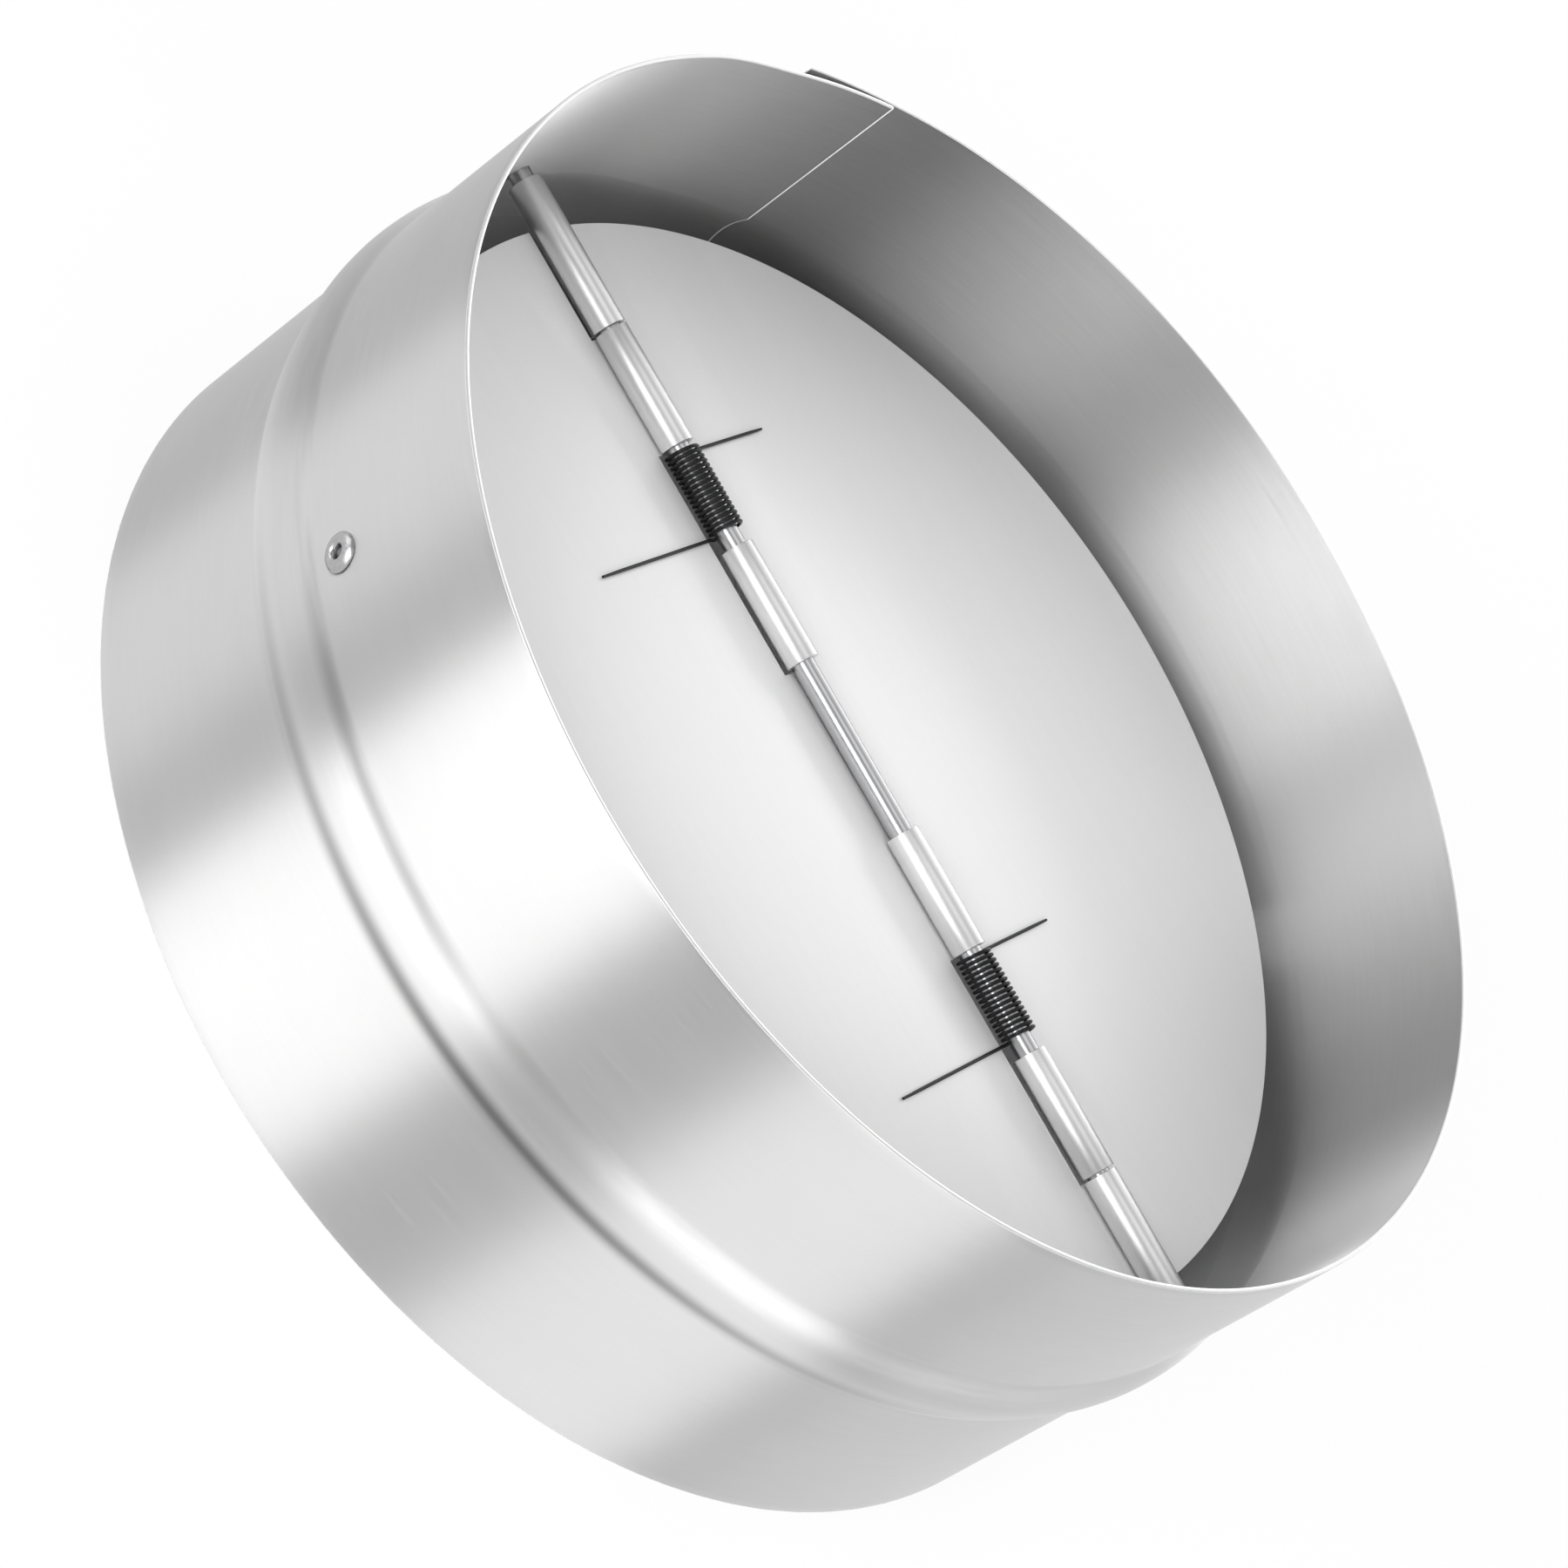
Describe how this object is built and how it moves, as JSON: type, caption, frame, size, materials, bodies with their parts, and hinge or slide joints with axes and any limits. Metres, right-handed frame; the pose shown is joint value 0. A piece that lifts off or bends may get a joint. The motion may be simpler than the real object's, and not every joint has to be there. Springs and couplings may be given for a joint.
{
  "type": "backdraft damper",
  "caption": "Round backdraft damper for ducts: a beaded sheet-metal spigot with two sprung half-disc blades on a cross rod that open one way with the air flow.",
  "frame": {"origin": "centre of the upstream rim plane, on the duct axis", "axes": "+Z along the duct axis, downstream, the way the blades open; +X along the hinge rod; the front blade is on -Y and the rear blade on +Y"},
  "size_m": [0.2034, 0.2034, 0.08],
  "materials": {
    "galvanised_shell": "satin galvanised sheet steel",
    "galvanised_bar": "satin galvanised strip",
    "rivet_aluminium": "satin",
    "mandrel_steel": "snapped grey steel",
    "rod_steel": "satin zinc-plated rod",
    "blade_aluminium": "satin sheet",
    "spring_steel": "dark oiled spring wire"
  },
  "bodies": {
    "housing": {"shell": "galvanised_shell", "stop_bar": "galvanised_bar", "rivet_body": "rivet_aluminium", "rivet_mandrel": "mandrel_steel", "hinge_rod": "rod_steel", "left_spring": "spring_steel", "right_spring": "spring_steel"},
    "front_blade": {"front_blade": "blade_aluminium"},
    "rear_blade": {"rear_blade": "blade_aluminium"}
  },
  "joints": [
    {"name": "front_blade_hinge", "type": "hinge", "parent": "housing", "child": "front_blade", "pos_m": [0, 0, 0.0493], "axis": [-1, 0, 0], "range_deg": [0, 82], "stiffness_Nm_per_rad": 0.006, "springref_deg": -91.67, "deforming": ["left_spring", "right_spring"]},
    {"name": "rear_blade_hinge", "type": "hinge", "parent": "housing", "child": "rear_blade", "pos_m": [0, 0, 0.0493], "axis": [1, 0, 0], "range_deg": [0, 82], "stiffness_Nm_per_rad": 0.006, "springref_deg": -91.67, "deforming": ["left_spring", "right_spring"]}
  ]
}
